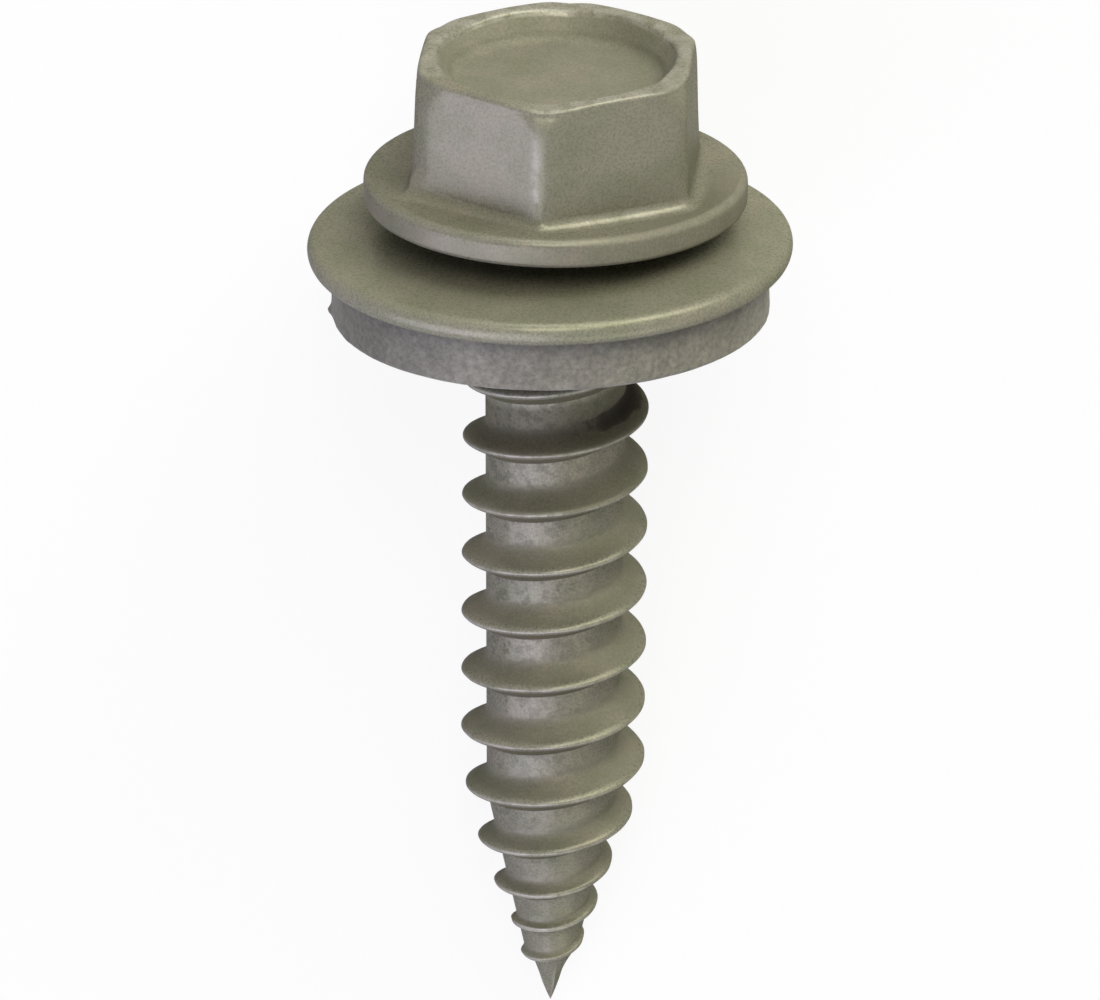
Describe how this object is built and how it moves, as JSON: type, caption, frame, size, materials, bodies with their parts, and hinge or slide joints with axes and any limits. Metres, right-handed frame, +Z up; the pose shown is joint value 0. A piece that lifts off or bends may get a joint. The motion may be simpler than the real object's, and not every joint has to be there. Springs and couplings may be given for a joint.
{
  "type": "metal roofing screw",
  "caption": "Self-tapping roofing screw with a dished hex flange head, a coarse thread that tapers into a sharp point, and a captive metal and rubber sealing washer that turns under the flange.",
  "frame": {"origin": "on the floor under the middle of the lying screw's box", "axes": "+Z up, +Y towards the head; the screw's own axis leans 14.69 degrees up from +Y"},
  "size_m": [0.0138, 0.0296, 0.0134],
  "materials": {
    "plated_steel": "matte zinc plating, olive grey, finely grained",
    "plated_washer": "matte zinc plating, olive grey, finely grained",
    "grey_rubber": "matte grey moulded rubber with a rough cut edge"
  },
  "bodies": {
    "screw": {"screw": "plated_steel"},
    "sealing_washer": {"metal_washer": "plated_washer", "rubber_seal": "grey_rubber"}
  },
  "joints": [
    {"name": "washer_spin", "type": "hinge", "parent": "screw", "child": "sealing_washer", "pos_m": [0, 0.00946, 0.00703], "axis": [0, 0.9673, 0.2536], "continuous": true}
  ]
}
